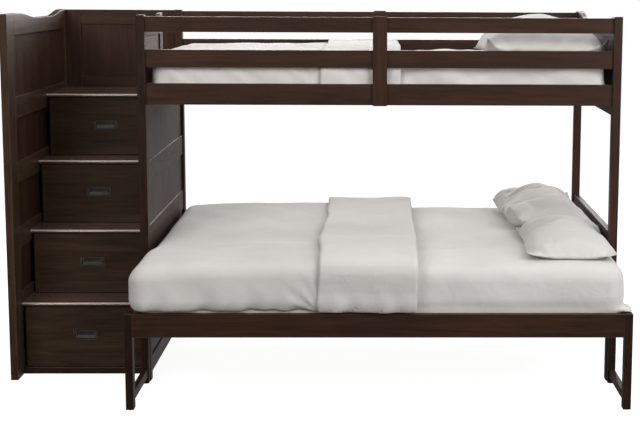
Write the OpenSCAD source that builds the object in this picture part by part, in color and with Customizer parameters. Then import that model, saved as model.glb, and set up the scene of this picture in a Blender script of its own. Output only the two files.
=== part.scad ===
// Bunk bed with a drawer staircase: a narrow bunk over a wide bunk.
// Every piece is drawn in bed coordinates: X runs along the bed from the left outer face of its
// posts, Y runs back from the front face of the front legs, Z is up from the floor. place() then
// moves it to the part's own origin, the middle of the footprint on the floor.

/* [Bunks] */
// Length of both bunks over their posts
bed_l = 2020; // [1950:5:2100]
// Depth of the upper bunk over its posts
upper_d = 1075; // [1060:5:1150]
// How far the lower bunk reaches in front of the posts
reach = 380; // [340:5:420]
// Height of the posts
bed_h = 1562; // [1540:2:1600]
// Post size along the bed
post_w = 35; // [32:1:44]
// Post size across the bed
post_d = 43; // [40:1:50]
// Size of the lower bunk's front legs along the bed
leg_w = 31.5; // [28:0.5:35]
// Height of the lower bunk's legs
leg_h = 396; // [380:1:420]

/* [Rails] */
// Underside of the lower side rails
lower_rail_z = 300; // [290:1:310]
// Height of the lower side rails
lower_rail_h = 94; // [80:1:94]
// Underside of the upper side rails
upper_rail_z = 1189.5; // [1185:0.5:1195]
// Height of the upper side rails
upper_rail_h = 88; // [80:1:100]
// Underside of the middle guard rail
mid_guard_z = 1345.5; // [1330:0.5:1360]
// Height of the middle guard rail
mid_guard_h = 73; // [60:1:80]
// Underside of the top guard rail
top_guard_z = 1492; // [1480:1:1495]
// Height of the top guard rail
top_guard_h = 63.3; // [50:0.1:64]
// Thickness of the side rails
rail_t = 26; // [24:1:28]
// Thickness of the guard rails
guard_t = 22; // [18:1:25]
// How far the rails sit behind the posts' faces
rail_set = 10; // [6:1:12]
// Width of the stile across the middle of the guard rails
stile_w = 60; // [40:1:80]
// How deep the curved top edges dip
scoop_dip = 26; // [10:1:30]

/* [Staircase] */
// Width of the staircase, from its outer side to the bed's posts
stair_w = 568; // [540:1:600]
// Thickness of the staircase's outer side frame
side_t = 32; // [28:1:36]
// Width of the side frame's front stile
side_stile_w = 107; // [90:1:120]
// Height of the first tread's top
first_tread_z = 317.5; // [317.5:0.5:325]
// Height from one tread's top to the next
tread_rise = 287.5; // [285:0.5:288]
// Depth of each step, from one drawer's face to the next
tread_run = 172; // [160:1:175]
// Thickness of the treads
tread_t = 18; // [16:1:22]
// Overhang of a tread's nose over the drawer below it
nosing = 12; // [8:1:16]
// Distance of the lowest drawer's face from the bed's front
first_face_y = 502; // [495:1:510]

/* [Drawers] */
// Gap around a drawer front
front_gap = 3; // [2:0.5:4]
// Thickness of a drawer front
front_t = 18; // [17:1:20]
// Thickness of a drawer box's boards
box_t = 12; // [9:1:12]
// Length of a drawer box behind its front
box_l = 360; // [320:5:360]

/* [Pulls] */
// Width of the pull's plate
plate_w = 106; // [100:1:120]
// Height of the pull's plate
plate_h = 41; // [38:1:45]
// How far the plate's rim stands proud of the drawer front
plate_t = 2.5; // [2:0.1:3]
// Depth of the plate's pan behind the drawer front's face
pan_depth = 9; // [8:0.5:10]
// Radius of the bail's pins
pin_r = 1.95; // [1.5:0.05:2]

/* [Bedding] */
// Thickness of the upper mattress
upper_mattress_t = 160; // [130:5:165]
// Thickness of the lower mattress
lower_mattress_t = 225; // [180:5:230]
// Loft of the duvets
duvet_t = 26; // [15:1:30]

/* [Hidden] */
$fn = 32;
espresso = [0.16, 0.10, 0.08];
pale_wood = [0.62, 0.50, 0.36];
pewter = [0.25, 0.25, 0.23];
zinc = [0.55, 0.56, 0.57];
nylon = [0.12, 0.12, 0.12];
ticking = [0.80, 0.79, 0.77];
linen = [0.74, 0.73, 0.71];

bed_d = reach + upper_d;
post_yf = [reach, reach + post_d];
post_yr = [bed_d - post_d, bed_d];
left_x = [0, post_w];
right_x = [bed_l - post_w, bed_l];
span_x = [post_w, bed_l - post_w];
glide_h = 3;
glide_r = 12;

// Glue line between boards that make one frame
joint_gap = 0.1;

// Leg sizes of the lower bunk's front extension
leg_d = 42;
back_leg = [32, 34];
stretcher_z = [30, 65];
stretcher_t = 22;

// Y spans of the rails: the front ones, and the rear ones mirrored
rail_yf = [reach + rail_set, reach + rail_set + rail_t];
rail_yr = [bed_d - rail_set - rail_t, bed_d - rail_set];
guard_yf = [reach + rail_set, reach + rail_set + guard_t];
guard_yr = [bed_d - rail_set - guard_t, bed_d - rail_set];
lower_front_y = [2, 28];

// The end frames between the posts
end_t = 22;
end_panel_t = 10;
end_set = (post_w - end_t) / 2;
panel_set = (post_w - end_panel_t) / 2;
between_y = [post_yf[1], post_yr[0]];
left_end_rails_z = [[24, 95], [570, 666], [846, 941], [1144, 1240]];
right_end_rail_z = [1144, 1240];
end_top_z = 1470;
headboard_z = [300, 647];
headboard_t = 25;
guard_end_y = 880;
guard_stile_w = 70;

// The frames' tops stay this far below the posts' tops, and the guard stiles hang this far
// below the side rails
top_set = 2;
side_top_set = 0.5;
stile_drop = 3;

// Curved top edges: the level length at each end, then the length each dip runs over
end_scoop = [[40, 40], [150, 150]];
entry_scoop = [[20, 10], [120, 130]];
side_scoop = [[80, 20], [330, 220]];

// Slats and what carries them
slat_w = 70;
slat_end_gap = 50;
upper_slat_z = [upper_rail_z + 13.5, upper_rail_z + 25.5];
lower_slat_z = [lower_rail_z + 45, lower_rail_z + 60];
slat_play = 1;
cleat_w = 22;
cleat_h = 25;
cross_t = 22;
beam_y = [705, 745];

// The fixing bolts, which run through the posts into the rails' ends
bolt_head_r = 7.5;
bolt_head_h = 5;
bolt_r = 4;
bolt_bore_r = 4.5;
bolt_l = 70;
counterbore_r = 8;
counterbore_h = 6;
pilot_r = bolt_r + 0.1;
pilot_spare = 2;
post_bolts = [upper_rail_z + 22, upper_rail_z + 66, mid_guard_z + 36, top_guard_z + 31];
lower_bolts = [lower_rail_z + 22, lower_rail_z + 72];

// The staircase's bays, lowest first
bays = [0 : 3];
base_z = [14, 30];
inner_x = [-stair_w + side_t, 0];
side_y = [398, bed_d];
back_y = [bed_d - 35, bed_d - 10];
carcass_t = 12;
carcass_set = 24;
side_panel_t = 10;
side_rails_z = [[0, 100], [276, 366], [556, 646], [840, 930], [1118, 1208]];
side_top_z = 1469;
back_rails_z = [[24, 98], [570, 644], [1161, 1235], [1490, bed_h - top_set]];
back_stile_w = 74;
rear_stile_w = 57;
function tread_z(i) = first_tread_z + tread_rise * i;
function face_y(i) = first_face_y + tread_run * i;
function bay_z0(i) = i == 0 ? base_z[1] : tread_z(i - 1);
function bay_z1(i) = tread_z(i) - tread_t;

// Drawer box: it rides on wooden runners, one along each side of its bay
front_x = [inner_x[0] + 13, -2];
box_x = [inner_x[0] + carcass_t + 4, -carcass_t - 4];
box_lift = 20;
box_headroom = 45;
runner_w = 16;
runner_z = [4, 19.6];

// Pull: a plate with a sunk pan, and a bail that hangs in it from two pins
pull_x = (inner_x[0] + inner_x[1]) / 2;
pull_rise = 6;
pan_w = 98;
pan_h = 33;
pan_wall = 1.2;
pin_wall = 4;
pan_play = 0.3;
pivot_rise = 9.5;
pivot_depth = 1.6;
bore_r = pin_r + 0.05;
pin_bore_l = 3.4;
bail_arm_r = 2.2;
bail_reach = 22;
bail_grip_h = 12;
bail_grip_t = 4.2;
bail_w = 84;
screw_x = 30;
screw_r = 1.6;
screw_l = 7;
screw_head_r = 3.4;
screw_head_h = 1.4;
screw_bore_r = 1.8;
function pull_z(i) = (bay_z0(i) + bay_z1(i)) / 2 + pull_rise;

// Bedding
clear = 0.3;
upper_bed_z = upper_slat_z[1] + clear;
upper_top_z = upper_bed_z + upper_mattress_t;
lower_bed_z = lower_slat_z[1] + clear;
lower_top_z = lower_bed_z + lower_mattress_t;
lower_fold_x = [765, 1163];
upper_fold_x = [765, 1100];
fold_t = 34;
hem_z = leg_h + 1.5;
bulge_x = 16;
bulge_y = [16, reach - 4];
side_clear = 5;
end_clear = 15;
core_clear = 3;
drape_face = 4;
upper_fold_t = 16;
upper_mattress_x = [post_w + end_clear, bed_l - post_w - end_clear];
upper_mattress_y = [rail_yf[1] + side_clear, rail_yr[0] - side_clear];
lower_core_x = [span_x[0] + core_clear, span_x[1] - core_clear];
lower_back_y = post_yr[0] - core_clear;
upper_pillow_x = [1450, 1950];
upper_pillow_y = [455, 1095];
upper_pillow_t = 180;
lower_pillow_x = [1545, 1981];
lower_pillow_front_y = [30, 695];
lower_pillow_rear_y = [700, 1380];
lower_pillow_t = [120, 135];

// ---------- helpers ----------

// Bed coordinates to the part's own origin
module place() {
    translate([stair_w - (stair_w + bed_l) / 2, -bed_d / 2, 0]) children();
}

// A straight board between low and high corners, given as one span for each axis
module board(x, y, z) {
    translate([x[0], y[0], z[0]]) cube([x[1] - x[0], y[1] - y[0], z[1] - z[0]]);
}

// A rod along X
module rod_x(x, y, z, r) {
    translate([x[0], y, z]) rotate([0, 90, 0]) cylinder(r = r, h = x[1] - x[0]);
}

// Points of a top edge that dips by scoop_dip between two level ends, from y[0] to y[1]
scoop_steps = 10;
function dip_at(i) = scoop_dip * (1 - cos(180 * i / scoop_steps)) / 2;
function scoop_edge(y, top, lead, run) = concat(
    [[y[0], top]],
    [for (i = [0 : scoop_steps]) [y[0] + lead[0] + run[0] * i / scoop_steps, top - dip_at(i)]],
    [for (i = [scoop_steps : -1 : 0]) [y[1] - lead[1] - run[1] * i / scoop_steps, top - dip_at(i)]],
    [[y[1], top]]
);

// An upright board in the Y-Z plane with a dipping top edge
module scooped_board(x, y, z, scoop) {
    translate([x[0], 0, 0]) rotate([90, 0, 90]) linear_extrude(x[1] - x[0])
        polygon(concat(scoop_edge(y, z[1], scoop[0], scoop[1]), [[y[1], z[0]], [y[0], z[0]]]));
}

// The clearance bore and counterbore of one bolt, entering at x and pointing along dir
module bolt_hole(x, y, z, dir, depth) {
    translate([x, y, z]) rotate([0, 90 * dir, 0]) {
        translate([0, 0, -1]) cylinder(r = counterbore_r, h = counterbore_h + 1);
        cylinder(r = bolt_bore_r, h = depth);
    }
}

module bolt(x, y, z, dir) {
    translate([x, y, z]) rotate([0, 90 * dir, 0]) {
        translate([0, 0, counterbore_h - bolt_head_h]) cylinder(r = bolt_head_r, h = bolt_head_h);
        translate([0, 0, counterbore_h]) cylinder(r = bolt_r, h = bolt_l);
    }
}

// The pilot holes in both ends of a rail that spans x, past the tips of the bolts
module rail_pilots(x, y, heights) {
    tip = counterbore_h + bolt_l + pilot_spare;
    for (z = heights) {
        rod_x([x[0] - 1, tip], y, z, pilot_r);
        rod_x([bed_l - tip, x[1] + 1], y, z, pilot_r);
    }
}

function mid(span) = (span[0] + span[1]) / 2;

// ---------- posts ----------

module post(x, y, dir) {
    rear = y[0] > reach;
    color(espresso) place() difference() {
        board(x, y, [glide_h, bed_h]);
        for (z = post_bolts)
            bolt_hole(dir > 0 ? x[0] : x[1], mid(rear ? rail_yr : rail_yf), z, dir, post_w + 2);
        if (rear)
            for (z = lower_bolts)
                bolt_hole(dir > 0 ? x[0] : x[1], mid(rail_yr), z, dir, post_w + 2);
    }
}

// ---------- rails of the upper bunk ----------

module upper_side_rail(y) {
    color(espresso) place() difference() {
        board(span_x, y, [upper_rail_z, upper_rail_z + upper_rail_h]);
        rail_pilots(span_x, mid(y), [post_bolts[0], post_bolts[1]]);
    }
}

module guard_rails(y, bolt_y) {
    color(espresso) place() difference() {
        union() {
            board(span_x, y, [mid_guard_z, mid_guard_z + mid_guard_h]);
            board(span_x, y, [top_guard_z, top_guard_z + top_guard_h]);
        }
        rail_pilots(span_x, bolt_y, [post_bolts[2], post_bolts[3]]);
    }
}

module guard_stiles() {
    x = [(bed_l - stile_w) / 2, (bed_l + stile_w) / 2];
    z = [upper_rail_z - stile_drop, bed_h - top_set];
    color(espresso) place() {
        board(x, [reach, rail_yf[0]], z);
        board(x, [rail_yr[1], bed_d], z);
    }
}

// ---------- end frames ----------

module right_end_rails() {
    x = [right_x[0] + end_set, right_x[1] - end_set];
    color(espresso) place() {
        board(x, between_y, right_end_rail_z);
        scooped_board(x, between_y, [end_top_z, bed_h - top_set], end_scoop);
    }
}

module right_end_panel() {
    color(espresso) place()
        board([right_x[0] + panel_set, right_x[1] - panel_set], between_y, [right_end_rail_z[1], end_top_z]);
}

module lower_headboard() {
    x = mid(right_x);
    color(espresso) place()
        board([x - headboard_t / 2, x + headboard_t / 2], between_y, headboard_z);
}

module left_end_rails() {
    color(espresso) place()
        for (z = left_end_rails_z) board([end_set, post_w - end_set], between_y, z);
}

module left_end_panels() {
    color(espresso) place()
        for (i = [0 : len(left_end_rails_z) - 2])
            board(
                [panel_set, post_w - panel_set],
                between_y,
                [left_end_rails_z[i][1], left_end_rails_z[i + 1][0]]
            );
}

module entry_guard_frame() {
    x = [end_set, post_w - end_set];
    sill = left_end_rails_z[3][1];
    color(espresso) place() {
        scooped_board(x, [between_y[0], guard_end_y], [end_top_z, bed_h - top_set], entry_scoop);
        board(x, [guard_end_y - guard_stile_w, guard_end_y], [sill, end_top_z - joint_gap]);
    }
}

module entry_guard_panel() {
    color(espresso) place()
        board(
            [panel_set, post_w - panel_set],
            [between_y[0], guard_end_y - guard_stile_w],
            [left_end_rails_z[3][1], end_top_z]
        );
}

// ---------- slats and what carries them ----------

module slat_cleats() {
    color(pale_wood) place() {
        for (y = [[rail_yf[1], rail_yf[1] + cleat_w], [rail_yr[0] - cleat_w, rail_yr[0]]])
            board([span_x[0] + 5, span_x[1] - 5], y, [upper_rail_z + 1, upper_slat_z[0]]);
        for (y = [[lower_front_y[1], lower_front_y[1] + cleat_w], [rail_yr[0] - cleat_w, rail_yr[0]]])
            board(
                [span_x[0] + cross_t, span_x[1] - cross_t],
                y,
                [lower_slat_z[0] - cleat_h, lower_slat_z[0]]
            );
    }
}

module slats(count, y, z) {
    first = span_x[0] + slat_end_gap;
    pitch = (span_x[1] - slat_end_gap - slat_w - first) / (count - 1);
    color(pale_wood) place()
        for (i = [0 : count - 1]) board([first + pitch * i, first + pitch * i + slat_w], y, z);
}

module upper_slats() {
    slats(13, [rail_yf[1] + slat_play, rail_yr[0] - slat_play], upper_slat_z);
}

module lower_slats() {
    slats(14, [lower_front_y[1] + slat_play, rail_yr[0] - slat_play], lower_slat_z);
}

// ---------- lower bunk ----------

module lower_side_rail_front() {
    x = [leg_w, bed_l - leg_w];
    color(espresso) place() difference() {
        board(x, lower_front_y, [lower_rail_z, lower_rail_z + lower_rail_h]);
        rail_pilots(x, mid(lower_front_y), lower_bolts);
    }
}

module lower_side_rail_rear() {
    color(espresso) place() difference() {
        board(span_x, rail_yr, [lower_rail_z, lower_rail_z + lower_rail_h]);
        rail_pilots(span_x, mid(rail_yr), lower_bolts);
    }
}

module extension_legs() {
    color(espresso) place()
        for (side = [0, 1]) {
            front_x = side == 0 ? [0, leg_w] : [bed_l - leg_w, bed_l];
            rear_x = side == 0 ? [0, back_leg[0]] : [bed_l - back_leg[0], bed_l];
            outer = side == 0 ? 0 : bed_l;
            difference() {
                board(front_x, [0, leg_d], [glide_h, leg_h]);
                for (z = lower_bolts)
                    bolt_hole(outer, mid(lower_front_y), z, side == 0 ? 1 : -1, leg_w + 2);
            }
            board(rear_x, [reach - back_leg[1], reach], [glide_h, leg_h]);
        }
}

module extension_rails() {
    y = [leg_d, reach - back_leg[1]];
    low = (leg_w - stretcher_t) / 2;
    color(espresso) place()
        for (x = [[low, low + stretcher_t], [bed_l - low - stretcher_t, bed_l - low]]) {
            board(x, y, [lower_rail_z, lower_rail_z + lower_rail_h]);
            board(x, y, stretcher_z);
        }
}

module lower_cross_rails() {
    z = [lower_rail_z, lower_slat_z[0]];
    y = [leg_d + 6, rail_yr[0]];
    color(pale_wood) place() {
        for (x = [[span_x[0], span_x[0] + cross_t], [span_x[1] - cross_t, span_x[1]]]) board(x, y, z);
        board([span_x[0] + cross_t + joint_gap, span_x[1] - cross_t - joint_gap], beam_y, z);
    }
}

// ---------- staircase ----------

module stair_side_frame() {
    x = [-stair_w, -stair_w + side_t];
    stile_y = [side_y[0] + side_stile_w, side_y[1] - rear_stile_w];
    rail_y = [stile_y[0] + joint_gap, stile_y[1] - joint_gap];
    color(espresso) place() {
        board(x, [side_y[0], stile_y[0]], [0, bed_h - side_top_set]);
        board(x, [stile_y[1], side_y[1]], [0, bed_h - side_top_set]);
        for (z = side_rails_z) board(x, rail_y, z);
        scooped_board(x, rail_y, [side_top_z, bed_h - side_top_set], side_scoop);
    }
}

module stair_side_panels() {
    x = [-stair_w + (side_t - side_panel_t) / 2, -stair_w + (side_t + side_panel_t) / 2];
    y = [side_y[0] + side_stile_w, side_y[1] - rear_stile_w];
    tops = concat([for (i = [1 : 4]) side_rails_z[i][0]], [side_top_z]);
    color(espresso) place()
        for (i = [0 : 4]) board(x, y, [side_rails_z[i][1], tops[i]]);
}

module stair_back_frame() {
    color(espresso) place() {
        for (x = [[inner_x[0], inner_x[0] + back_stile_w], [-back_stile_w, 0]])
            board(x, back_y, [back_rails_z[0][0], back_rails_z[3][1]]);
        for (z = back_rails_z)
            board([inner_x[0] + back_stile_w + joint_gap, -back_stile_w - joint_gap], back_y, z);
    }
}

module stair_back_panels() {
    y = [mid(back_y) - side_panel_t / 2, mid(back_y) + side_panel_t / 2];
    color(espresso) place()
        for (i = [0 : 2])
            board(
                [inner_x[0] + back_stile_w, -back_stile_w],
                y,
                [back_rails_z[i][1], back_rails_z[i + 1][0]]
            );
}

module stair_carcass_boards() {
    color(espresso) place()
        for (i = bays)
            for (x = [[inner_x[0], inner_x[0] + carcass_t], [-carcass_t, 0]])
                board(x, [face_y(i) + carcass_set, back_y[0]], [i == 0 ? 0 : bay_z0(i), bay_z1(i)]);
}

module stair_base() {
    color(espresso) place() {
        board(inner_x, [first_face_y - 10, first_face_y + 8], [0, base_z[1]]);
        board([inner_x[0] + carcass_t, -carcass_t], [first_face_y + 8, back_y[0]], base_z);
    }
}

// A board with a rounded nose, closing the bay below it
module tread(i) {
    nose = face_y(i) - nosing;
    color(espresso) place()
        translate([inner_x[0], 0, tread_z(i) - tread_t])
            rotate([90, 0, 90]) linear_extrude(inner_x[1] - inner_x[0]) {
                translate([nose + tread_t / 2, 0])
                    square([back_y[0] - nose - tread_t / 2, tread_t]);
                translate([nose + tread_t / 2, tread_t / 2]) circle(r = tread_t / 2);
            }
}

module drawer_runners() {
    color(pale_wood) place()
        for (i = bays)
            for (x = [inner_x[0] + carcass_t, -carcass_t - runner_w])
                board(
                    [x, x + runner_w],
                    [face_y(i) + carcass_set, face_y(i) + front_t + box_l + 5],
                    [bay_z0(i) + runner_z[0], bay_z0(i) + runner_z[1]]
                );
}

// ---------- fixings ----------

module bed_bolts() {
    color(zinc) place()
        for (side = [0, 1]) {
            x = side == 0 ? 0 : bed_l;
            dir = side == 0 ? 1 : -1;
            for (y = [mid(rail_yf), mid(rail_yr)])
                for (z = post_bolts) bolt(x, y, z, dir);
            for (y = [mid(lower_front_y), mid(rail_yr)])
                for (z = lower_bolts) bolt(x, y, z, dir);
        }
}

module foot_glides() {
    color(nylon) place()
        for (side = [0, 1]) {
            post_x = side == 0 ? post_w / 2 : bed_l - post_w / 2;
            leg_x = side == 0 ? leg_w / 2 : bed_l - leg_w / 2;
            for (p = [[leg_x, leg_d / 2], [leg_x, reach - back_leg[1] / 2], [post_x, mid(post_yf)],
                      [post_x, mid(post_yr)]])
                translate([p[0], p[1], 0]) cylinder(r = glide_r, h = glide_h);
        }
}

// ---------- drawers ----------

module drawer_front(i) {
    y = face_y(i);
    z = pull_z(i);
    color(espresso) place() difference() {
        board(front_x, [y, y + front_t], [bay_z0(i) + front_gap, bay_z1(i) - front_gap]);
        board(
            [pull_x - pan_w / 2 - pan_play, pull_x + pan_w / 2 + pan_play],
            [y - 1, y + pan_depth + pan_play],
            [z - pan_h / 2 - pan_play, z + pan_h / 2 + pan_play]
        );
        for (dx = [-screw_x, screw_x])
            translate([pull_x + dx, y, z]) rotate([-90, 0, 0]) cylinder(r = screw_bore_r, h = front_t - 2);
    }
}

// Two sides, a back, an inner front and a bottom, each its own board
module drawer_box(i) {
    y = [face_y(i) + front_t, face_y(i) + front_t + box_l];
    z = [bay_z0(i) + box_lift, bay_z1(i) - box_headroom];
    inner = [box_x[0] + box_t + joint_gap, box_x[1] - box_t - joint_gap];
    color(pale_wood) place() {
        board([box_x[0], box_x[0] + box_t], y, z);
        board([box_x[1] - box_t, box_x[1]], y, z);
        board(inner, [y[0], y[0] + box_t], z);
        board(inner, [y[1] - box_t, y[1]], z);
        board(inner, [y[0] + box_t + joint_gap, y[1] - box_t - joint_gap], [z[0], z[0] + box_t]);
    }
}

module pull_plate(i) {
    y = face_y(i);
    color(pewter) place() translate([pull_x, y, pull_z(i)]) {
        difference() {
            union() {
                board([-plate_w / 2, plate_w / 2], [-plate_t, 0], [-plate_h / 2, plate_h / 2]);
                board([-pan_w / 2, pan_w / 2], [0, pan_depth], [-pan_h / 2, pan_h / 2]);
            }
            board(
                [-pan_w / 2 + pin_wall, pan_w / 2 - pin_wall],
                [-plate_t - 1, pan_depth - pan_wall],
                [-pan_h / 2 + pan_wall, pan_h / 2 - pan_wall]
            );
            for (x = [[-pan_w / 2 + pin_wall - pin_bore_l, -pan_w / 2 + pin_wall + 1],
                      [pan_w / 2 - pin_wall - 1, pan_w / 2 - pin_wall + pin_bore_l]])
                rod_x(x, pivot_depth, pivot_rise, bore_r);
            for (dx = [-screw_x, screw_x])
                translate([dx, 0, 0]) rotate([-90, 0, 0]) cylinder(r = screw_bore_r, h = pan_depth + 1);
        }
        for (dx = [-screw_x, screw_x])
            translate([dx, pan_depth - pan_wall, 0]) rotate([-90, 0, 0]) {
                translate([0, 0, -screw_head_h]) cylinder(r = screw_head_r, h = screw_head_h);
                translate([0, 0, -0.1]) cylinder(r = screw_r, h = screw_l);
            }
    }
}

module bail(i) {
    arm_x = bail_w / 2 - bail_arm_r;
    foot = -bail_reach + bail_grip_h;
    color(pewter) place() translate([pull_x, face_y(i) + pivot_depth, pull_z(i) + pivot_rise]) {
        for (s = [-1, 1]) {
            translate([s * arm_x, 0, foot - 0.5]) cylinder(r = bail_arm_r, h = -foot + 0.5);
            translate([s * arm_x, 0, 0]) sphere(r = bail_arm_r + 0.3);
            rod_x(s > 0 ? [arm_x, pan_w / 2 - pin_wall + pin_bore_l - 0.4]
                        : [-pan_w / 2 + pin_wall - pin_bore_l + 0.4, -arm_x], 0, 0, pin_r);
        }
        board([-bail_w / 2, bail_w / 2], [-bail_grip_t / 2, bail_grip_t / 2], [-bail_reach, foot]);
    }
}

// ---------- bedding ----------

module upper_mattress() {
    color(ticking) place()
        board(upper_mattress_x, upper_mattress_y, [upper_bed_z, upper_top_z]);
}

// Lies on the mattress, with its end folded back into a double band
module upper_duvet() {
    z = upper_top_z + clear;
    color(linen) place() {
        board([upper_mattress_x[0], upper_fold_x[1]], upper_mattress_y, [z, z + duvet_t]);
        board(upper_fold_x, upper_mattress_y, [z, z + duvet_t + upper_fold_t]);
    }
}

// A pillow: a lens in the X-Z plane, run across the bed
module pillow(x, y, z) {
    w = x[1] - x[0];
    t = z[1] - z[0];
    r = (w * w / 4 + t * t / 4) / t;
    translate([mid(x), y[0], mid(z)]) rotate([90, 0, 0])
        translate([0, 0, y[0] - y[1]]) linear_extrude(y[1] - y[0]) intersection() {
            translate([0, r - t / 2]) circle(r = r);
            translate([0, t / 2 - r]) circle(r = r);
        }
}

module upper_pillow() {
    z = upper_top_z + clear;
    color(linen) place() pillow(upper_pillow_x, upper_pillow_y, [z, z + upper_pillow_t]);
}

module lower_mattress() {
    z = [lower_bed_z, lower_top_z];
    color(ticking) place() {
        board(lower_core_x, [leg_d - side_clear, lower_back_y], z);
        board([bulge_x, bed_l - bulge_x], bulge_y, [hem_z, lower_top_z]);
    }
}

// Lies on the mattress, hangs down its front and its end, and folds back into a double band
module lower_duvet() {
    z = lower_top_z + clear;
    front = [drape_face, bulge_y[0] - clear];
    color(linen) place() {
        board([lower_core_x[0], lower_fold_x[1]], [drape_face, lower_back_y], [z, z + duvet_t]);
        board(lower_fold_x, [drape_face, lower_back_y], [z, z + duvet_t + fold_t]);
        board([drape_face, lower_fold_x[1]], front, [hem_z, z + duvet_t]);
        board([drape_face, bulge_x - clear], [drape_face, bulge_y[1]], [hem_z, z + duvet_t]);
        board([drape_face, lower_core_x[0]], [drape_face, bulge_y[1]], [z, z + duvet_t]);
    }
}

module lower_pillow_front() {
    z = lower_top_z + clear;
    color(linen) place() pillow(lower_pillow_x, lower_pillow_front_y, [z, z + lower_pillow_t[0]]);
}

module lower_pillow_rear() {
    z = lower_top_z + clear;
    color(linen) place() pillow(lower_pillow_x, lower_pillow_rear_y, [z, z + lower_pillow_t[1]]);
}

// ---------- assembly ----------

post(left_x, post_yf, 1);  // post_front_left
post(right_x, post_yf, -1);  // post_front_right
post(left_x, post_yr, 1);  // post_rear_left
post(right_x, post_yr, -1);  // post_rear_right
upper_side_rail(rail_yf);  // upper_side_rail_front
upper_side_rail(rail_yr);  // upper_side_rail_rear
guard_rails(guard_yf, mid(rail_yf));  // guard_rails_front
guard_rails(guard_yr, mid(rail_yr));  // guard_rails_rear
guard_stiles();
right_end_rails();
right_end_panel();
lower_headboard();
left_end_rails();
left_end_panels();
entry_guard_frame();
entry_guard_panel();
slat_cleats();
upper_slats();
lower_slats();
lower_side_rail_front();
lower_side_rail_rear();
extension_legs();
extension_rails();
lower_cross_rails();
stair_side_frame();
stair_side_panels();
stair_back_frame();
stair_back_panels();
stair_carcass_boards();
stair_base();
tread(0);  // stair_tread_1
tread(1);  // stair_tread_2
tread(2);  // stair_tread_3
tread(3);  // stair_landing
drawer_runners();
bed_bolts();
foot_glides();
drawer_front(0);  // drawer_1_front
drawer_box(0);  // drawer_1_box
pull_plate(0);  // drawer_1_pull_plate
bail(0);  // drawer_1_bail
drawer_front(1);  // drawer_2_front
drawer_box(1);  // drawer_2_box
pull_plate(1);  // drawer_2_pull_plate
bail(1);  // drawer_2_bail
drawer_front(2);  // drawer_3_front
drawer_box(2);  // drawer_3_box
pull_plate(2);  // drawer_3_pull_plate
bail(2);  // drawer_3_bail
drawer_front(3);  // drawer_4_front
drawer_box(3);  // drawer_4_box
pull_plate(3);  // drawer_4_pull_plate
bail(3);  // drawer_4_bail
upper_mattress();
upper_duvet();
upper_pillow();
lower_mattress();
lower_duvet();
lower_pillow_front();
lower_pillow_rear();
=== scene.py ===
import math

import bpy
import numpy as np
from mathutils import Matrix, Vector, noise


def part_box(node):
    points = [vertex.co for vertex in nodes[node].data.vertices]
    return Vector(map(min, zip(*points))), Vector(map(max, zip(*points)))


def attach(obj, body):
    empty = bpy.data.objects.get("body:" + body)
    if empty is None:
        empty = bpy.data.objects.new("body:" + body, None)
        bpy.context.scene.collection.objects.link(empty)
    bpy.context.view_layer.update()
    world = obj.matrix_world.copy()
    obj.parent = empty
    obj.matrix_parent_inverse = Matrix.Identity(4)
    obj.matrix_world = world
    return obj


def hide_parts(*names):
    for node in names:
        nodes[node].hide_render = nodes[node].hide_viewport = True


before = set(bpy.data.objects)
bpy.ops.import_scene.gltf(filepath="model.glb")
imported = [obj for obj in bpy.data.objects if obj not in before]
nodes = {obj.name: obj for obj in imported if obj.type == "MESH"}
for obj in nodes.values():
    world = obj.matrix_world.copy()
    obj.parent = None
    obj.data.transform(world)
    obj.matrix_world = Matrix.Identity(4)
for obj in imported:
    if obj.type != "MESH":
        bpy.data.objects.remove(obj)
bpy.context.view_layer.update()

scene = bpy.context.scene

# ---------- shader helpers ----------


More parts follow.
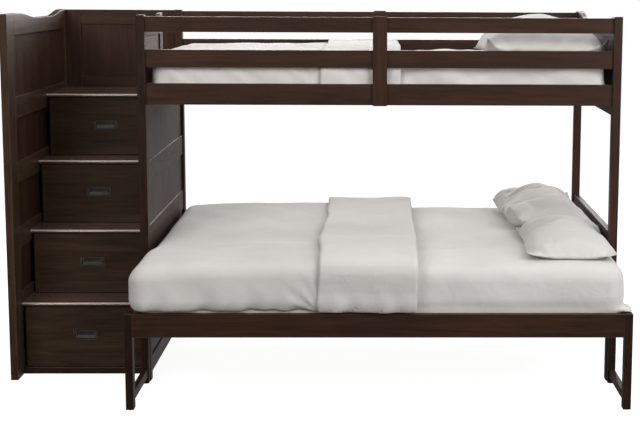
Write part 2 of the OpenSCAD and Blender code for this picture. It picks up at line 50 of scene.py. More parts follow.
class Shader:
    """A node material, built by short calls that return sockets."""

    def __init__(self, name):
        self.mat = bpy.data.materials.new(name)
        self.mat.use_nodes = True
        self.tree = self.mat.node_tree
        self.bsdf = self.tree.nodes["Principled BSDF"]
        self.coords = self.tree.nodes.new("ShaderNodeTexCoord").outputs["Object"]

    def put(self, socket, value):
        if isinstance(value, bpy.types.NodeSocket):
            self.tree.links.new(value, socket)
        elif value is not None:
            socket.default_value = value

    def node(self, kind, **values):
        n = self.tree.nodes.new(kind)
        for key, value in values.items():
            if hasattr(n, key) and key not in n.inputs:
                setattr(n, key, value)
            else:
                self.put(n.inputs[key], value)
        return n

    def math(self, operation, a, b=None, c=None):
        n = self.tree.nodes.new("ShaderNodeMath")
        n.operation = operation
        for socket, value in zip(n.inputs, (a, b, c)):
            self.put(socket, value)
        return n.outputs[0]

    def spans(self, value, low, high, to_low=0.0, to_high=1.0):
        n = self.tree.nodes.new("ShaderNodeMapRange")
        for socket, v in zip(n.inputs, (value, low, high, to_low, to_high)):
            self.put(socket, v)
        return n.outputs[0]

    def mix(self, factor, a, b, blend="MIX"):
        n = self.tree.nodes.new("ShaderNodeMix")
        n.data_type = "RGBA"
        n.blend_type = blend
        for key, value in ((0, factor), (6, a), (7, b)):
            if isinstance(value, tuple):
                value = (*value, 1.0)[:4]
            self.put(n.inputs[key], value)
        return n.outputs[2]

    def stretched(self, scale, offset=(0, 0, 0)):
        n = self.tree.nodes.new("ShaderNodeMapping")
        self.put(n.inputs["Vector"], self.coords)
        n.inputs["Scale"].default_value = scale
        n.inputs["Location"].default_value = offset
        return n.outputs["Vector"]

    def noise(self, vector, scale, detail=3.0, rough=0.55, distort=0.0):
        n = self.node("ShaderNodeTexNoise", Vector=vector, Scale=scale, Detail=detail,
                      Roughness=rough, Distortion=distort)
        return n.outputs["Fac"]

    def bump(self, height, strength, distance, under=None):
        n = self.node("ShaderNodeBump", Height=height, Strength=strength, Distance=distance)
        self.put(n.inputs["Normal"], under)
        return n.outputs["Normal"]

    def edges(self, radius):
        """1 on edges of about that radius, 0 on flat faces."""
        rounded = self.node("ShaderNodeBevel", samples=4, Radius=radius).outputs["Normal"]
        flat = self.tree.nodes.new("ShaderNodeNewGeometry").outputs["Normal"]
        dot = self.tree.nodes.new("ShaderNodeVectorMath")
        dot.operation = "DOT_PRODUCT"
        self.put(dot.inputs[0], rounded)
        self.put(dot.inputs[1], flat)
        return self.spans(dot.outputs["Value"], 0.995, 0.80)

    def nosing(self):
        """1 where a surface faces between the front and straight up, as a tread's rounded edge does."""
        split = self.tree.nodes.new("ShaderNodeSeparateXYZ")
        self.put(split.inputs[0], self.tree.nodes.new("ShaderNodeNewGeometry").outputs["Normal"])
        ahead = self.spans(split.outputs[1], -0.10, -0.45)
        return self.math("MULTIPLY", ahead, self.spans(split.outputs[2], 0.10, 0.45))

    def finish(self, colour, rough, normal=None, **fixed):
        self.put(self.bsdf.inputs["Base Color"], (*colour, 1.0) if isinstance(colour, tuple) else colour)
        self.put(self.bsdf.inputs["Roughness"], rough)
        self.put(self.bsdf.inputs["Normal"], normal)
        for key, value in fixed.items():
            self.bsdf.inputs[key.replace("_", " ")].default_value = value
        return self.mat


# ---------- materials ----------

GRAIN = {"X": (1, 14, 14), "Y": (14, 1, 14), "Z": (14, 14, 1)}


def wood(name, deep, mid, light, grain, stile=None, specular=0.22, rough=(0.34, 0.50), coat=0.0,
         edge_glint=(0.0035, 0.6, 2.1), nose_glint=None):
    """Stained wood with its grain along one axis. stile is (axis, centre, half width, grain): outside
    that span the grain turns to the second direction, as it does in a frame's stiles. The edge glint
    tuple is how wide, how strong and how light a painted highlight along the rounded edges is, and
    the nose colour is a painted highlight on a tread's rounded front edge."""
    s = Shader(name)
    along = s.stretched(GRAIN[grain])
    if stile:
        axis, centre, half, turned = stile
        split = s.tree.nodes.new("ShaderNodeSeparateXYZ")
        s.put(split.inputs[0], s.coords)
        away = s.math("ABSOLUTE", s.math("SUBTRACT", split.outputs[axis], centre))
        outside = s.math("GREATER_THAN", away, half)
        turn = s.tree.nodes.new("ShaderNodeMix")
        turn.data_type = "VECTOR"
        s.put(turn.inputs[0], outside)
        s.put(turn.inputs[4], along)
        s.put(turn.inputs[5], s.stretched(GRAIN[turned], (3.1, 1.7, 0.4)))
        along = turn.outputs[1]
    broad = s.noise(along, 1.6, 4, 0.6, 0.6)
    streak = s.noise(along, 7.0, 6, 0.65, 0.25)
    pores = s.noise(along, 34.0, 3, 0.6)
    cloud = s.noise(s.stretched((1, 1, 1), (7, 2, 5)), 2.2, 2)
    colour = s.mix(s.spans(streak, 0.34, 0.68), deep, mid)
    colour = s.mix(s.math("MULTIPLY", s.spans(broad, 0.45, 0.75), 0.75), colour, light)
    colour = s.mix(s.spans(cloud, 0.35, 0.70, 0.0, 0.35), colour, deep)
    colour = s.mix(s.spans(pores, 0.60, 0.78, 0.0, 0.5), colour, tuple(c * 0.45 for c in deep))
    # painted highlight: the rounded edges turn a lighter colour in noisy patches, standing in for the
    # light they catch
    glint_colour = tuple(min(1.0, c * edge_glint[2] + 0.006) for c in light)
    patchy = s.spans(s.noise(s.coords, 9.0, 4), 0.35, 0.65, edge_glint[1] / 3, edge_glint[1])
    edge = s.math("MULTIPLY", s.edges(edge_glint[0]), patchy)
    colour = s.mix(edge, colour, glint_colour)
    # painted highlight: a tread's rounded front edge turns a light colour, standing in for the light its
    # polish catches
    if nose_glint:
        tread_glint_mask = s.math("MULTIPLY", s.nosing(), s.spans(streak, 0.2, 0.8, 0.80, 1.0))
        colour = s.mix(tread_glint_mask, colour, nose_glint)
    gloss = s.math("ADD", s.spans(streak, 0.3, 0.7, *rough), s.spans(cloud, 0.3, 0.7, -0.03, 0.03))
    relief = s.math("ADD", s.math("MULTIPLY", pores, 0.6), streak)
    normal = s.bump(relief, 0.06 if coat else 0.18, 0.0006)
    return s.finish(colour, gloss, normal, Specular_IOR_Level=specular, Coat_Weight=coat,
                    Coat_Roughness=0.22, Specular_Tint=(1.0, 0.84, 0.72, 1.0))


# stain colours, each (deep, mid, light)
ESPRESSO = ((0.020, 0.0090, 0.0056), (0.038, 0.0172, 0.0108), (0.062, 0.0265, 0.0155))
STAIR = ((0.0262, 0.0152, 0.0090), (0.0500, 0.0292, 0.0176), (0.0780, 0.0430, 0.0255))
# the treads' stain is lighter than the stair's: painted light, standing in for the light their tops
# catch
TREAD = ((0.0500, 0.0298, 0.0214), (0.0960, 0.0576, 0.0420), (0.1440, 0.0864, 0.0624))
PALE = ((0.36, 0.235, 0.125), (0.50, 0.345, 0.20), (0.60, 0.44, 0.27))


def cloth(name, colour, weave=900.0, tone=0.05, soft=1.0):
    """Plain-weave cotton: warp and weft ridges, slubs, and creases under them that soft scales."""
    s = Shader(name)
    split = s.tree.nodes.new("ShaderNodeSeparateXYZ")
    s.put(split.inputs[0], s.coords)
    x, y, z = (s.math("SINE", s.math("MULTIPLY", split.outputs[k], weave * math.pi)) for k in range(3))
    threads = s.math("ADD", s.math("MULTIPLY", x, y), s.math("MULTIPLY", z, s.math("ADD", x, y)))
    slub = s.noise(s.stretched((1, 1, 6)), 160.0, 4, 0.7)
    fuzz = s.noise(s.coords, 700.0, 2)
    crease = s.noise(s.coords, 13.0, 5, 0.55, 0.8)
    broad = s.noise(s.coords, 3.2, 3, 0.5, 0.4)
    dark = tuple(c * (1 - 2.2 * tone) for c in colour)
    shade = s.mix(s.spans(broad, 0.3, 0.7), dark, colour)
    pale = tuple(min(1.0, c * 1.08) for c in colour)
    shade = s.mix(s.spans(slub, 0.55, 0.8, 0.0, 0.35), shade, pale)
    shade = s.mix(s.spans(threads, -1.2, 1.2, 0.10, 0.0), shade, tuple(c * 0.7 for c in colour))
    loose = s.math("ADD", slub, s.math("MULTIPLY", fuzz, 0.5))
    fine = s.math("ADD", s.math("MULTIPLY", threads, 0.5), loose)
    normal = s.bump(crease, 0.22 * soft, 0.012)
    normal = s.bump(fine, 0.30, 0.0006, normal)
    return s.finish(shade, s.spans(slub, 0.3, 0.8, 0.78, 0.92), normal, Sheen_Weight=0.22,
                    Sheen_Roughness=0.5, Specular_IOR_Level=0.22)


def metal(name, colour, dark, rough, metallic, wear):
    """Cast and rubbed metal: darker in noisy patches of patina, bright where hands polish the edges."""
    s = Shader(name)
    patina = s.noise(s.coords, 22.0, 3, 0.5, 0.3)
    grain = s.noise(s.stretched((1, 6, 6)), 420.0, 3)
    shade = s.mix(s.spans(patina, 0.35, 0.7), dark, colour)
    shade = s.mix(s.math("MULTIPLY", s.edges(0.0016), 0.85), shade, wear)
    gloss = s.spans(patina, 0.3, 0.7, rough, rough + 0.16)
    gloss = s.math("ADD", gloss, s.math("MULTIPLY", grain, 0.06))
    normal = s.bump(s.math("ADD", grain, patina), 0.25, 0.0003)
    return s.finish(shade, gloss, normal, Metallic=metallic, Specular_IOR_Level=0.5)


def moulded(name, colour, rough):
    """Moulded plastic with a fine pebbled skin."""
    s = Shader(name)
    texture = s.node("ShaderNodeTexVoronoi", Vector=s.coords, Scale=900.0).outputs["Distance"]
    shade = s.mix(s.spans(s.noise(s.coords, 30.0), 0.3, 0.7), colour, tuple(c * 1.6 for c in colour))
    gloss = s.spans(texture, 0.0, 0.6, rough, rough + 0.12)
    return s.finish(shade, gloss, s.bump(texture, 0.2, 0.0004))


# ---------- the CAD nodes that stay ----------

GRAIN_OF = {
    "X": ["upper_side_rail_front", "upper_side_rail_rear", "guard_rails_front", "guard_rails_rear",
          "lower_side_rail_front", "lower_side_rail_rear", "stair_base"],
    "Y": ["right_end_rails", "lower_headboard", "left_end_rails", "extension_rails", "right_end_panel"],
    "Z": ["post_front_right", "post_rear_left", "post_rear_right", "guard_stiles",
          "left_end_panels", "entry_guard_panel", "stair_side_panels", "stair_back_panels",
          "stair_carcass_boards"],
}
DRAWERS = (1, 2, 3, 4)
TREADS = ("stair_tread_1", "stair_tread_2", "stair_tread_3", "stair_landing")
PALE_OF = {
    "X": ["slat_cleats"],
    "Y": ["upper_slats", "lower_slats", "lower_cross_rails", "drawer_runners",
          *(f"drawer_{k}_box" for k in DRAWERS)],
}


def span(node, axis):
    """A node's middle and half width along an axis."""
    low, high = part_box(node)
    return (low[axis] + high[axis]) / 2, (high[axis] - low[axis]) / 2


def paint(node, material):
    """Gives a CAD node its material on every slot."""
    slots = nodes[node].material_slots
    if not slots:
        nodes[node].data.materials.append(material)
    for k in range(len(slots)):
        slots[k].material = material


for axis, names in GRAIN_OF.items():
    material = wood("espresso_" + axis.lower(), *ESPRESSO, axis)
    for n in names:
        paint(n, material)
for axis, names in PALE_OF.items():
    material = wood("pine_" + axis.lower(), *PALE, axis, specular=0.4, rough=(0.5, 0.65))
    for n in names:
        paint(n, material)

# painted shade: the front left post and the leg frames get a darker copy of the stain, standing in for
# the shade they sit in
DARKER = 0.55
shaded = wood("espresso_shaded", *[tuple(c * DARKER for c in tone) for tone in ESPRESSO], "Z")
paint("post_front_left", shaded)
paint("extension_legs", shaded)
drawer_wood = wood("espresso_drawer", *STAIR, "X")
for k in DRAWERS:
    paint(f"drawer_{k}_front", drawer_wood)
# the treads carry the painted highlight on their rounded front edges
polished = wood("espresso_tread", *TREAD, "X", specular=0.6, rough=(0.24, 0.32), coat=1.0,
                nose_glint=(0.44, 0.335, 0.285))
for n in TREADS:
    paint(n, polished)

# widths of the framed panels' stiles, where the grain turns upright
STILE_FRONT, STILE_REAR, STILE_BACK, STILE_ENTRY = 0.107, 0.057, 0.074, 0.070
side_mid, side_half = span("stair_side_frame", 1)
paint("stair_side_frame", wood("espresso_side", *STAIR, "Y", stile=(
    1, side_mid + (STILE_FRONT - STILE_REAR) / 2, side_half - (STILE_FRONT + STILE_REAR) / 2, "Z")))
back_mid, back_half = span("stair_back_frame", 0)
paint("stair_back_frame", wood("espresso_back", *ESPRESSO, "X", stile=(
    0, back_mid, back_half - STILE_BACK, "Z")))
low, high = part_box("entry_guard_frame")
paint("entry_guard_frame", wood("espresso_entry", *ESPRESSO, "Y", stile=(
    1, low.y, high.y - low.y - STILE_ENTRY, "Z")))

pewter = metal("pewter", (0.060, 0.061, 0.051), (0.040, 0.040, 0.034), 0.38, 0.6, (0.20, 0.20, 0.17))
rubbed = metal("pewter_rubbed", (0.130, 0.130, 0.108), (0.095, 0.095, 0.080), 0.34, 0.6,
               (0.32, 0.32, 0.28))
zinc = metal("zinc", (0.45, 0.46, 0.47), (0.30, 0.31, 0.33), 0.30, 1.0, (0.6, 0.6, 0.6))
for k in DRAWERS:
    paint(f"drawer_{k}_pull_plate", pewter)
    paint(f"drawer_{k}_bail", rubbed)
paint("bed_bolts", zinc)
paint("foot_glides", moulded("nylon", (0.012, 0.012, 0.012), 0.45))

# how wide each node's edges are rounded, in metres
BOARD_EDGE, NOSE_EDGE = 0.0022, 0.006
EDGE_OF = {"bed_bolts": 0.0006, "foot_glides": 0.0006, **{n: NOSE_EDGE for n in TREADS}}
for k in DRAWERS:
    EDGE_OF[f"drawer_{k}_bail"] = 0.0012
    EDGE_OF[f"drawer_{k}_pull_plate"] = 0.0009

for n, o in nodes.items():
    weld = o.modifiers.new("weld", "WELD")
    weld.merge_threshold = 0.00002
    ease = o.modifiers.new("ease", "BEVEL")
    ease.width = EDGE_OF.get(n, BOARD_EDGE)
    ease.segments = 4 if n in TREADS else 2
    ease.limit_method = "ANGLE"
    ease.angle_limit = math.radians(40)
    ease.use_clamp_overlap = True
    ease.harden_normals = False

# ---------- distance fields and meshes from them ----------


def rounded_box(p, low, high, r):
    """Signed distance to a box whose edges have radius r."""
    centre, half = (np.array(low) + high) / 2, (np.array(high) - low) / 2
    q = np.abs(p - centre) - (half - r)
    return np.linalg.norm(np.maximum(q, 0), axis=-1) + np.minimum(q.max(-1), 0) - r


def blend_min(a, b, k):
    """The union of two fields, with the joint between them filleted by k."""
    h = np.clip(0.5 + 0.5 * (b - a) / k, 0, 1)
    return b * (1 - h) + a * h - k * h * (1 - h)


def blend_max(a, b, k):
    """Where two fields overlap, with the edge between them rounded by k."""
    return -blend_min(-a, -b, k)


def waves(p, rows):
    """A smooth uneven field in metres. A row is (amplitude, (kx, ky, kz) in radians a metre, phase)."""
    total = 0.0
    for amplitude, k, phase in rows:
        warp = 0.9 * np.sin(p @ np.array(k[::-1], float) * 0.43 + phase * 1.7)
        total = total + amplitude * np.sin(p @ np.array(k, float) + phase + warp)
    return total


def add_object(name, mesh):
    mesh.update()
    mesh.polygons.foreach_set("use_smooth", [True] * len(mesh.polygons))
    o = bpy.data.objects.new(name, mesh)
    scene.collection.objects.link(o)
    return o


def surface(name, field, low, high, step):
    """The closed mesh where field is 0, on a grid of cells, with its points moved onto the surface."""
    axes = [np.arange(a - 2 * step, b + 2.5 * step, step) for a, b in zip(low, high)]
    grid = np.stack(np.meshgrid(*axes, indexing="ij"), -1)
    f = field(grid.reshape(-1, 3)).reshape(grid.shape[:3])
    inside = f < 0
    shape = np.array(f.shape) - 1
    total, count = np.zeros((*shape, 3)), np.zeros(shape)
    corners = [(i, j, k) for i in (0, 1) for j in (0, 1) for k in (0, 1)]

    def cut(a, c):
        return a[c[0]:c[0] + shape[0], c[1]:c[1] + shape[1], c[2]:c[2] + shape[2]]

    for c in corners:
        for axis in range(3):
            if c[axis]:
                continue
            d = tuple(v + (k == axis) for k, v in enumerate(c))
            fa, fb = cut(f, c), cut(f, d)
            crossing = cut(inside, c) != cut(inside, d)
            t = np.where(crossing, fa / np.where(fa == fb, 1, fa - fb), 0)
            point = np.broadcast_to(np.array(c, float), (*shape, 3)).copy()
            point[..., axis] = t
            total += point * crossing[..., None]
            count += crossing
    used = count > 0
    index = np.full(shape, -1)
    index[used] = np.arange(used.sum())
    origin = np.array([a[0] for a in axes])
    points = origin + (np.argwhere(used) + total[used] / count[used][:, None]) * step
    quads = []
    for axis in range(3):
        u, v = (axis + 1) % 3, (axis + 2) % 3
        a = np.take(inside, range(shape[axis]), axis)
        b = np.take(inside, range(1, shape[axis] + 1), axis)
        cells = np.argwhere(a != b)
        pair = cells[:, [u, v]]
        cells = cells[((pair > 0) & (pair < (shape[u], shape[v]))).all(1)]
        out = a[tuple(cells.T)]
        ring = []
        for du, dv in ((1, 1), (0, 1), (0, 0), (1, 0)):
            c = cells.copy()
            c[:, u] -= du
            c[:, v] -= dv
            ring.append(index[tuple(c.T)])
        ring = np.stack(ring, 1)
        ring[~out] = ring[~out][:, ::-1]
        quads.append(ring)
    quads = np.concatenate(quads)
    e = step * 0.3
    for _ in range(4):
        value = field(points)
        slope = np.stack([field(points + d) - field(points - d) for d in np.eye(3) * e], 1) / (2 * e)
        size = np.maximum((slope ** 2).sum(1), 0.2)
        points = points - np.clip(value / size, -step, step)[:, None] * slope
    mesh = bpy.data.meshes.new(name)
    mesh.from_pydata(points.tolist(), [], quads.tolist())
    return add_object(name, mesh)


def points_of(o):
    co = np.empty(len(o.data.vertices) * 3)
    o.data.vertices.foreach_get("co", co)
    return co.reshape(-1, 3)


def set_points(o, co):
    o.data.vertices.foreach_set("co", np.asarray(co, float).ravel())
    o.data.update()


def inflate(o, frames, pressure, seam):
    """Blows the piece up with Cloth for some frames, its seam drawing in, and keeps the result."""
    rest = points_of(o)
    cloth_mod = o.modifiers.new("cloth", "CLOTH")
    c = cloth_mod.settings
    c.quality = 5
    c.mass = 0.25
    c.tension_stiffness = c.compression_stiffness = 30.0
    c.shear_stiffness = 15.0
    c.bending_stiffness = 0.25
    c.tension_damping = c.compression_damping = 8
    c.air_damping = 3
    c.effector_weights.gravity = 0.0
    c.use_pressure = True
    c.uniform_pressure_force = pressure
    o.vertex_groups.new(name="seam").add(np.flatnonzero(seam).tolist(), 1.0, "REPLACE")
    c.vertex_group_shrink = "seam"
    c.shrink_min, c.shrink_max = 0.0, 0.14
    cloth_mod.point_cache.frame_start = 1
    cloth_mod.point_cache.frame_end = frames
    for f in range(1, frames + 1):
        scene.frame_set(f)
    dg = bpy.context.evaluated_depsgraph_get()
    moved = np.empty(len(rest) * 3)
    o.evaluated_get(dg).data.vertices.foreach_get("co", moved)
    o.modifiers.remove(cloth_mod)
    scene.frame_set(1)
    set_points(o, rest + np.nan_to_num(moved.reshape(-1, 3) - rest))


# ---------- bedding: where it lies ----------

mattress_low, mattress_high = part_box("lower_mattress")
duvet_low, duvet_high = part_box("lower_duvet")
post_low, post_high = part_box("post_front_left")
right_post_low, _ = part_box("post_front_right")
_, rail_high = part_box("lower_side_rail_front")
_, leg_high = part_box("extension_legs")
upper_low, upper_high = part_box("upper_mattress")
upper_duvet_low, upper_duvet_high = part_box("upper_duvet")

HEM = leg_high.z + 0.0015                  # the front hem just clears the leg frames
BULGE_BACK = post_low.y - 0.005            # what hangs in front of the posts ends here
CORE_LEFT, CORE_RIGHT = post_high.x + 0.003, right_post_low.x - 0.003
DUVET_TOP = duvet_high.z - 0.034           # under the folded band
FOLD = post_low.x + 0.763                  # both duvets are turned back to this line
LOWER_FOLD_END = duvet_high.x
UPPER_FOLD_END = upper_duvet_high.x
SKIN = 0.0010                              # between a duvet's inside and its mattress
REAR_HEM, REAR_BAND = 0.110, 0.09          # how far the duvet and its band hang down the rear

linen = cloth("linen", (0.600, 0.578, 0.552))
percale = cloth("percale", (0.635, 0.613, 0.589), soft=1.3)
# painted light: the upper bunk's bedding gets lighter copies of the same cloths, for the brighter light
# up there
linen_lit_upper = cloth("linen_upper_lit", (0.680, 0.656, 0.628))
percale_lit_upper = cloth("percale_upper_lit", (0.690, 0.664, 0.640), soft=1.2)


def sag_of(p):
    """How far the bedding sinks towards the bed's free corner, and how far its hem is drawn in."""
    along = p[:, 0] - mattress_low.x
    up = p[:, 2] - HEM
    sag = 0.028 * np.exp(-np.maximum(along, 0) / 0.16) * np.clip(up / 0.15, 0, 1)
    tuck = 0.011 * np.exp(-((along - 0.56) / 0.17) ** 2) * np.clip(1 - up / 0.10, 0, 1) ** 1.5
    return sag, tuck


def covered_of(p, fold_end):
    """1 under the duvet and 0 beyond its fold."""
    return np.clip((fold_end - 0.03 - p[:, 0]) / 0.09, 0, 1)


def mattress_field(p):
    """The lower mattress in its sheet: a core between the posts and the part that fills the front."""
    sag, tuck = sag_of(p)
    covered = covered_of(p, LOWER_FOLD_END)
    covered = covered * covered * (3 - 2 * covered)
    middle = (post_low.y + mattress_high.y) / 2
    side = -0.014 * np.clip((CORE_LEFT + 0.3 - p[:, 0]) / 0.2, 0, 1)
    inner = p + np.stack([side, 0.014 * covered * (p[:, 1] > middle), sag], 1)
    p = p + np.stack([0 * sag, -tuck - 0.014 * covered, sag], 1)
    core = rounded_box(inner, (CORE_LEFT, rail_high.y + 0.003, mattress_low.z),
                       (CORE_RIGHT, mattress_high.y, mattress_high.z), 0.045)
    front = rounded_box(p, (mattress_low.x + 0.026, mattress_low.y + 0.004, HEM - 0.006),
                        (mattress_high.x - 0.013, BULGE_BACK, mattress_high.z), 0.066)
    front = blend_max(front, HEM + 0.009 * covered - p[:, 2], 0.012)
    gather = (p - (mattress_high.x - 0.006, mattress_low.y + 0.060, HEM + 0.004)) / (0.042, 0.050, 0.010)
    gather = (np.linalg.norm(gather, axis=1) - 1) * 0.010
    front = blend_min(front, blend_max(gather, HEM - p[:, 2], 0.004), 0.036)
    lift = np.clip((p[:, 2] - HEM) / 0.06, 0, 1)
    return blend_min(core, front, 0.012) - lift * waves(p, [
        (0.0024, (5, 3, 9), 0.3), (0.0016, (11, -7, 14), 1.9), (0.0009, (24, 9, 27), 4.1)])


def duvet_outer(p, pleated=False):
    """The outside of the duvet: over the mattress, down its front and round the free corner. Pleated,
    it has the small gathers that spread from where the fold meets the front hem."""
    left = mattress_low.x - 0.002
    sag, tuck = sag_of(p)
    q = p + np.stack([0 * sag, -tuck, sag], 1)
    back = rounded_box(q, (CORE_LEFT - 0.001, rail_high.y + 0.02, HEM - 0.1),
                       (LOWER_FOLD_END + 0.5, mattress_high.y + 0.001, DUVET_TOP), 0.060)
    front = rounded_box(q, (left, duvet_low.y - 0.012, HEM - 0.016),
                        (LOWER_FOLD_END + 0.5, BULGE_BACK + 0.001, DUVET_TOP), 0.072)
    whole = blend_min(back, front, 0.02)
    crown = waves(p, [(0.0030, (4.2, 3.1, 2.0), 0.4), (0.0018, (9.5, -6.0, 7.0), 2.2),
                      (0.0010, (17, 13, 11), 5.0), (0.0007, (-29, 21, 16), 1.1)])
    near_hem = np.clip(1 - (p[:, 2] - HEM) / 0.13, 0, 1) * (p[:, 1] < post_low.y)
    drape = near_hem * waves(p, [(0.0040, (31, 22, 3), 0.9), (0.0024, (67, 40, 5), 3.0)])
    if not pleated:
        return whole - crown - drape
    pull_x, pull_z = FOLD + 0.02 - p[:, 0], p[:, 2] - HEM + 0.01
    reach = np.hypot(pull_x, pull_z)
    fan = np.sin(15 * np.arctan2(pull_z, pull_x) + 9 * reach) * np.exp(-(reach / 0.15) ** 2)
    fade = np.clip(reach / 0.05, 0, 1) * np.clip(pull_x / 0.04, 0, 1) * (p[:, 1] < post_low.y)
    return whole - crown - drape - 0.0030 * fan * fade


def path_edge(p):
    """How the fold's edge wanders from a straight line, along its way over the bed."""
    return 0.006 * np.sin(p[:, 1] * 7.5 + 0.6) + 0.004 * np.sin(p[:, 2] * 23 + 1.0) \
        + 0.003 * np.sin(p[:, 1] * 17 + p[:, 2] * 9)


def duvet_field(p):
    """The duvet between its outside and the mattress, cut at its hems and under the fold's end."""
    shell = np.maximum(duvet_outer(p, pleated=True), SKIN - mattress_field(p))
    shell = blend_max(shell, HEM + 0.002 - p[:, 2], 0.010)
    tucked = np.where(p[:, 1] > post_low.y, mattress_high.z - REAR_HEM - p[:, 2], -1.0)
    shell = blend_max(shell, tucked, 0.008)
    return blend_max(shell, p[:, 0] - (LOWER_FOLD_END - 0.012), 0.012)


def fold_field(p):
    """The end of the duvet turned back over itself: a soft band with a rolled edge."""
    above = duvet_outer(p)
    low = FOLD + path_edge(p)
    high = LOWER_FOLD_END + 0.4 * path_edge(p + np.array([0, 0.4, 0.2]))
    on_top = np.where(p[:, 2] > mattress_high.z - 0.03, 1.0, 0.0)
    half = 0.0055 + 0.0085 * np.clip((p[:, 2] - mattress_high.z + 0.10) / 0.11, 0, 1)
    puff = waves(p, [(0.0022, (8, 5, 4), 0.2), (0.0013, (19, -12, 9), 2.9)])
    x = np.abs(p[:, 0] - (low + high) / 2) - ((high - low) / 2 - half)
    band = np.sqrt(np.maximum(x, 0) ** 2 + (above - half - 0.0004) ** 2) - half
    band = band - puff * (on_top * 0.6 + 0.2) * (above > half)
    band = blend_max(band, HEM + 0.002 - p[:, 2], 0.008)
    rear_hem = mattress_high.z - REAR_BAND
    behind = (p[:, 1] > post_low.y) & (p[:, 2] < rear_hem)
    return np.where(behind, np.maximum(band, rear_hem - p[:, 2]), band)


CELL = 0.009
MATTRESS_CELL, FOLD_CELL = CELL * 1.15, CELL * 0.85

mattress = surface("mattress_lower", mattress_field, mattress_low, mattress_high, MATTRESS_CELL)
duvet = surface("duvet_lower", duvet_field, (duvet_low.x, duvet_low.y - 0.01, HEM - 0.01),
                (LOWER_FOLD_END, duvet_high.y + 0.01, DUVET_TOP + 0.015), CELL)
fold = surface("duvet_lower_fold", fold_field, (FOLD - 0.03, duvet_low.y - 0.035, HEM - 0.01),
               (LOWER_FOLD_END + 0.02, duvet_high.y + 0.03, duvet_high.z + 0.01), FOLD_CELL)

# ---------- pillows ----------


PUFF_FRAMES, PUFF_PRESSURE = 22, 5.0
SEAM_HEIGHT = 0.30                         # the seam's height over a pillow's, as a share
STRAIGHTENED = 0.84                        # how far the outline goes back to the cut rectangle


def pillow(name, size, seed, ears):
    """A pillowcase cut flat and sewn round its rim, then blown up by Cloth's pressure. It is centred on
    the origin and fills size = (width, length, height). ears is how far its left and right corners
    stand up."""
    w, l = size[0] * 1.16, size[1] * 1.10
    nx, ny = ((34, 52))
    xs, ys = np.linspace(-w / 2, w / 2, nx + 1), np.linspace(-l / 2, l / 2, ny + 1)
    points, faces, at = [], [], {}
    for side in (1, -1):
        for i, x in enumerate(xs):
            for j, y in enumerate(ys):
                rim = i in (0, nx) or j in (0, ny)
                key = (0 if rim else side, i, j)
                if key not in at:
                    at[key] = len(points)
                    edge = min(i, nx - i) / nx * w, min(j, ny - j) / ny * l
                    lift = 0 if rim else 0.012 * min(1, min(edge) / 0.05)
                    wobble = noise.noise(Vector((x * 9, y * 9, seed + side))) * 0.003
                    points.append((x, y, 0.0 if rim else side * (lift + wobble)))
        for i in range(nx):
            for j in range(ny):
                ring = [at[(0 if a in (0, nx) or b in (0, ny) else side, a, b)]
                        for a, b in ((i, j), (i + 1, j), (i + 1, j + 1), (i, j + 1))]
                faces.append(ring if side > 0 else ring[::-1])
    mesh = bpy.data.meshes.new(name)
    mesh.from_pydata(points, [], faces)
    o = add_object(name, mesh)
    flat = points_of(o)
    rim = np.zeros(len(flat), bool)
    rim[[v for (side, _, _), v in at.items() if side == 0]] = True
    inflate(o, PUFF_FRAMES, PUFF_PRESSURE, rim)
    co = points_of(o)
    low, high = co.min(0), co.max(0)
    co = (co - (low + high) / 2) * (np.array(size) / (high - low))
    straight = flat * (np.array([size[0], size[1], 0]) / np.array([w, l, 1]))
    co[:, :2] += STRAIGHTENED * (straight - co)[:, :2]
    half = size[2] / 2
    full = np.abs(co[:, 2] / half) ** 0.60
    co[:, 2] = np.where(co[:, 2] > 0, (1 - SEAM_HEIGHT) * full, -SEAM_HEIGHT * full) * size[2]
    corner = (np.abs(straight[:, 0]) / size[0] * 2) ** 3 * (np.abs(straight[:, 1]) / size[1] * 2) ** 3
    co[:, 2] += np.where(straight[:, 0] < 0, ears[0], ears[1]) * corner
    set_points(o, co)
    crease = mesh.attributes.new("crease_edge", "FLOAT", "EDGE")
    ends = np.empty(len(mesh.edges) * 2, int)
    mesh.edges.foreach_get("vertices", ends)
    both = rim[ends.reshape(-1, 2)].all(1)
    crease.data.foreach_set("value", np.where(both, 0.75, 0.0))
    rounded = o.modifiers.new("round", "SUBSURF")
    rounded.levels = rounded.render_levels = 1
    return o


def settle(o, place, top, sink, turn):
    """Lays a pillow at place on a bed whose surface is at top, and flattens the lowest sink metres."""
    c, s = math.cos(turn), math.sin(turn)
    spin = np.array([[c, -s, 0], [s, c, 0], [0, 0, 1]])
    co = points_of(o) @ spin.T
    co[:, 2] += top - co[:, 2].min() - sink
    low = co[:, 2] - top
    soft = 0.010
    flattened = soft * np.exp(np.clip((low - soft) / soft, -6, 0))
    co[:, 2] = top + np.where(low < soft, flattened, low) + 0.0008
    co[:, 0] += place[0]
    co[:, 1] += place[1]
    set_points(o, co)


front_low, front_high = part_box("lower_pillow_front")
rear_low, rear_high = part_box("lower_pillow_rear")
top_low, top_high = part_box("upper_pillow")


def lay(name, low, high, sink, seed, turn, extra, shift, ears):
    """A pillow in the CAD pillow's box, made extra larger, shifted on the bed and turned in degrees."""
    size = [high[k] - low[k] + extra[k] for k in range(3)]
    o = pillow(name, (size[0], size[1], size[2] + sink), seed, ears=ears)
    settle(o, ((low.x + high.x) / 2 + shift[0], (low.y + high.y) / 2 + shift[1]), low.z, sink,
           math.radians(turn))
    return o


